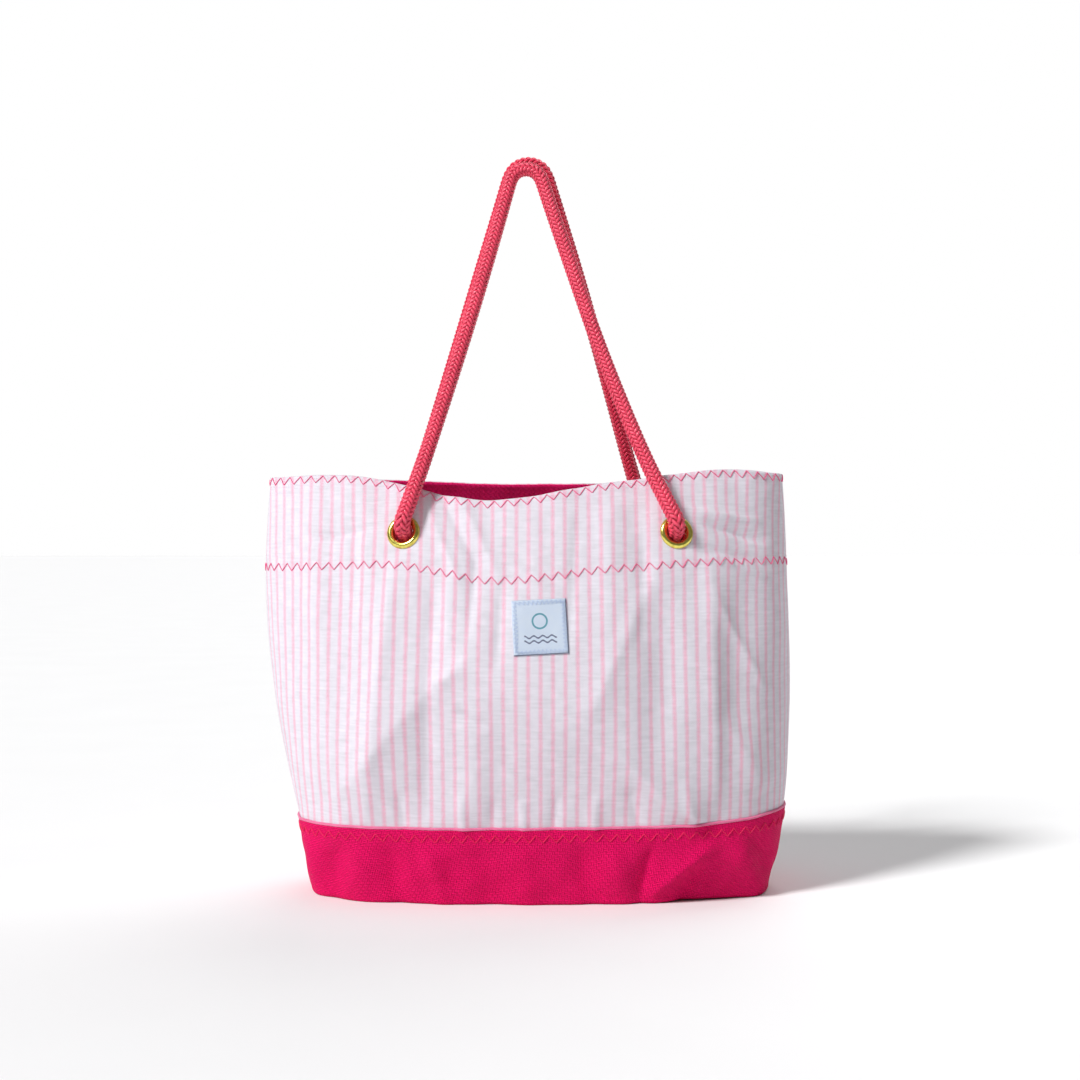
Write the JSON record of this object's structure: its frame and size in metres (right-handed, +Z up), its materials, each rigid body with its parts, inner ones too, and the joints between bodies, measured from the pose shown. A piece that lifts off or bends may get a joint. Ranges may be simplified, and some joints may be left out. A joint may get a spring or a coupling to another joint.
{
  "type": "beach bag",
  "caption": "Open-topped canvas beach bag with a plain base, a sewn facing and two rope handles that pass through grommets and knot inside.",
  "frame": {"origin": "on the floor under the middle of the bag, at the centre of the bag's footprint box", "axes": "+Z up towards the handles, +X to the right along the front, -Y out of the front panel with the label"},
  "size_m": [0.4356, 0.1987, 0.6104],
  "materials": {
    "striped_canvas": "woven ticking, white with narrow pink stripes",
    "pink_canvas": "plain woven hot-pink canvas",
    "woven_label": "satin woven label",
    "label_thread": "polyester thread",
    "pink_thread": "heavy zigzag thread",
    "rope": "braided cotton rope",
    "brass": "polished"
  },
  "bodies": {
    "bag": {"front_panel": "striped_canvas", "back_panel": "striped_canvas", "base_boot": "pink_canvas", "front_facing": "pink_canvas", "back_facing": "pink_canvas", "left_seam_tape": "pink_canvas", "right_seam_tape": "pink_canvas", "label": "woven_label", "label_stitching": "label_thread", "front_left_grommet": "brass", "front_right_grommet": "brass", "back_left_grommet": "brass", "back_right_grommet": "brass", "front_left_washer": "brass", "front_right_washer": "brass", "back_left_washer": "brass", "back_right_washer": "brass", "front_left_knot": "rope", "front_right_knot": "rope", "back_left_knot": "rope", "back_right_knot": "rope", "front_top_zigzag": "pink_thread", "back_top_zigzag": "pink_thread", "front_hem_zigzag": "pink_thread", "back_hem_zigzag": "pink_thread", "front_base_zigzag": "pink_thread", "back_base_zigzag": "pink_thread"},
    "front_handle": {"front_handle_rope": "rope"},
    "back_handle": {"back_handle_rope": "rope"}
  },
  "joints": [
    {"name": "front_handle_swing", "type": "hinge", "parent": "bag", "child": "front_handle", "pos_m": [0, -0.0812, 0.29698], "axis": [1, 0, 0], "range_deg": [0, 165]},
    {"name": "back_handle_swing", "type": "hinge", "parent": "bag", "child": "back_handle", "pos_m": [0, 0.08134, 0.29698], "axis": [-0.9996, -0.0286, -0.0008], "range_deg": [0, 165]}
  ]
}
